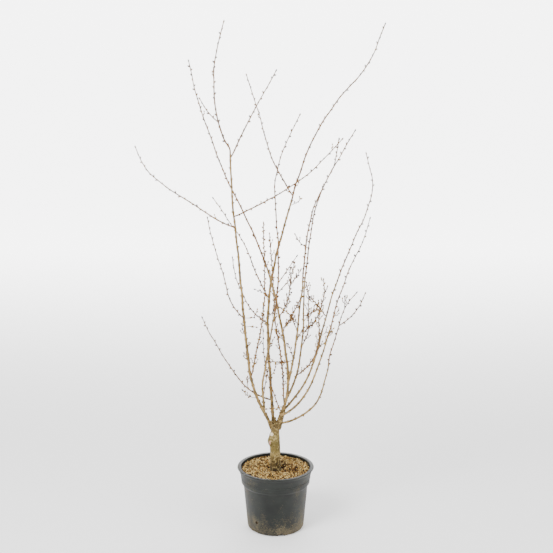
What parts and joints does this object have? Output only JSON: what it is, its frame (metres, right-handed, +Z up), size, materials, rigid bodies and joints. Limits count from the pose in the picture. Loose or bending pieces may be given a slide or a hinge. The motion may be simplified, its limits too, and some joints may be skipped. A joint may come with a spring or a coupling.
{
  "type": "potted flowering cherry",
  "caption": "Bare young ornamental cherry in winter: upright and arching whips with dark buds on a short grafted trunk, in a round black nursery pot filled with bark mix.",
  "frame": {"origin": "middle of the pot's flat underside", "axes": "+Z up, +Y away from the side that the picture shows, +X to the right of that view"},
  "size_m": [0.8079, 0.4848, 1.6912],
  "materials": {
    "pot_plastic": "moulded black polypropylene, satin, dusty low down",
    "bark_mix": "loose tan and brown bark granules",
    "trunk_bark": "olive grey young bark with pale scars",
    "bough_bark": "smooth brown cherry bark with pale pores",
    "twig_bark": "thin pinkish brown twigs with dark buds"
  },
  "bodies": {
    "root": {"bough_centre_leader": "bough_bark", "bough_left_inner": "bough_bark", "bough_left_leader": "bough_bark", "bough_right_arm": "bough_bark", "bough_right_inner": "bough_bark", "bough_right_long": "bough_bark", "bough_right_low": "bough_bark", "bough_right_middle": "bough_bark", "bough_right_outer": "bough_bark", "pot": "pot_plastic", "soil": "bark_mix", "trunk": "trunk_bark", "twigs_centre_leader": "twig_bark", "twigs_centre_left": "twig_bark", "twigs_centre_low": "twig_bark", "twigs_centre_shoot": "twig_bark", "twigs_centre_short": "twig_bark", "twigs_left_across": "twig_bark", "twigs_left_fork": "twig_bark", "twigs_left_inner": "twig_bark", "twigs_left_out": "twig_bark", "twigs_left_thin": "twig_bark", "twigs_left_top": "twig_bark", "twigs_left_upright": "twig_bark", "twigs_right_arm": "twig_bark", "twigs_right_inner": "twig_bark", "twigs_right_long": "twig_bark", "twigs_right_low": "twig_bark", "twigs_right_middle": "twig_bark", "twigs_right_outer": "twig_bark", "twigs_spray_arm": "twig_bark", "twigs_spray_inner": "twig_bark", "twigs_spray_knot": "twig_bark", "twigs_spray_low": "twig_bark", "twigs_spray_middle": "twig_bark", "twigs_spray_outer": "twig_bark", "twigs_spray_right": "twig_bark", "twigs_spray_short": "twig_bark", "twigs_spray_upright": "twig_bark", "twigs_thin_centre": "twig_bark", "twigs_thin_left": "twig_bark", "twigs_thin_low": "twig_bark"}
  },
  "joints": []
}
